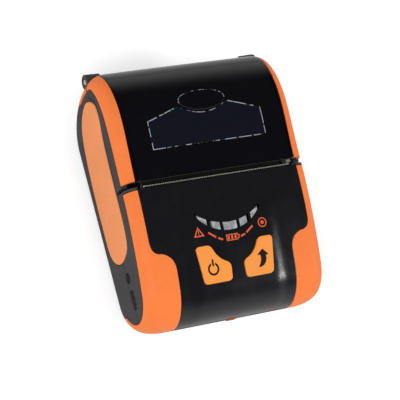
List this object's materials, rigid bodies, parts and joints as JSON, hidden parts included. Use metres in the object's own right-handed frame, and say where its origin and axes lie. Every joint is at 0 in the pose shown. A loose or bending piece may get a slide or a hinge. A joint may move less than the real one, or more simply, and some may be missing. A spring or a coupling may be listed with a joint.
{
  "type": "portable receipt printer",
  "caption": "Hand-held thermal receipt printer: hinged paper lid with window and platen roller, gear drive, print head, tear bar, keys, sockets and battery.",
  "frame": {"origin": "centre of the bounding box in plan, on the face that the underside rests on", "axes": "+Z out of the panel when the printer lies on its underside, +Y along the body from the keys to the lid hinge, +X to the right seen from the keys"},
  "size_m": [0.108, 0.1435, 0.0583],
  "materials": {
    "lid_gloss": "polished black",
    "window_smoked": "polished smoked pane",
    "panel_satin": "satin black",
    "case_dark": "fine moulded texture, dark grey",
    "orange_case": "soft moulded texture, orange",
    "orange_key": "smooth satin orange",
    "orange_grip": "diagonally ribbed soft grip, orange",
    "inner_black": "moulded black",
    "steel_sheet": "rolled and stamped",
    "steel_pin": "turned",
    "heat_sink": "extruded",
    "ceramic": "glazed ceramic strip",
    "acetal": "natural acetal",
    "platen_rubber": "ground roller rubber",
    "board": "solder mask over glass laminate",
    "light_lens": "frosted light guide"
  },
  "bodies": {
    "case": {"lower_housing": "case_dark", "upper_housing": "case_dark", "front_panel": "panel_satin", "bumper_left": "orange_case", "bumper_right": "orange_case", "rear_trim_left": "orange_case", "rear_trim_right": "orange_case", "grip_left": "orange_grip", "grip_right": "orange_grip", "hinge_pin_left": "steel_pin", "hinge_pin_right": "steel_pin", "paper_tray": "inner_black", "paper_sensor": "inner_black", "mechanism_frame": "steel_sheet", "head_spring_left": "steel_sheet", "head_spring_right": "steel_sheet", "tear_bar": "steel_sheet", "thermal_head": "ceramic", "heat_sink": "heat_sink", "stepper_motor": "steel_sheet", "idler_axle": "steel_pin", "main_board": "board", "key_board": "board", "key_switch_power": "inner_black", "key_switch_feed": "inner_black", "battery_pack": "case_dark", "latch_spring": "steel_sheet", "dc_jack": "inner_black", "usb_port": "steel_sheet", "light_guide_1": "light_lens", "light_guide_2": "light_lens", "light_guide_3": "light_lens", "light_guide_4": "light_lens", "light_guide_5": "light_lens", "housing_screw_1": "steel_pin", "housing_screw_2": "steel_pin", "housing_screw_3": "steel_pin", "housing_screw_4": "steel_pin"},
    "lid": {"lid_cover": "lid_gloss", "lid_frame": "case_dark", "lid_window": "window_smoked", "lid_trim_left": "orange_case", "lid_trim_right": "orange_case", "platen_bush_left": "acetal", "platen_bush_right": "acetal"},
    "platen": {"platen_roller": "platen_rubber", "platen_shaft": "steel_pin", "platen_gear": "acetal"},
    "idler": {"idler_gear": "acetal"},
    "drive": {"drive_pinion": "acetal", "motor_shaft": "steel_pin"},
    "power_key": {"power_button": "orange_key"},
    "feed_key": {"feed_button": "orange_key"},
    "latch": {"battery_latch": "orange_case"}
  },
  "joints": [
    {"name": "lid_hinge", "type": "hinge", "parent": "case", "child": "lid", "pos_m": [0, 0.06755, 0.033], "axis": [-1, 0, 0], "range_deg": [0, 100]},
    {"name": "platen_spin", "type": "hinge", "parent": "lid", "child": "platen", "pos_m": [0, 0.0095, 0.043], "axis": [1, 0, 0], "continuous": true},
    {"name": "idler_spin", "type": "hinge", "parent": "case", "child": "idler", "pos_m": [0, 0.00724, 0.02987], "axis": [1, 0, 0], "continuous": true},
    {"name": "pinion_spin", "type": "hinge", "parent": "case", "child": "drive", "pos_m": [0, -0.00067, 0.02324], "axis": [1, 0, 0], "continuous": true},
    {"name": "power_press", "type": "slide", "parent": "case", "child": "power_key", "axis": [0, 0, -1], "range_m": [0, 0.0005], "stiffness_N_per_m": 500, "springref_m": -0.0005},
    {"name": "feed_press", "type": "slide", "parent": "case", "child": "feed_key", "axis": [0, 0, -1], "range_m": [0, 0.0005], "stiffness_N_per_m": 500, "springref_m": -0.0005},
    {"name": "latch_push", "type": "slide", "parent": "case", "child": "latch", "axis": [0, 1, 0], "range_m": [0, 0.0015], "stiffness_N_per_m": 300, "springref_m": -0.0005, "deforming": ["latch_spring"]}
  ],
  "couplings": [
    {"joint": "idler_spin", "follows": "platen_spin", "ratio": -0.83333},
    {"joint": "pinion_spin", "follows": "platen_spin", "ratio": 2}
  ]
}
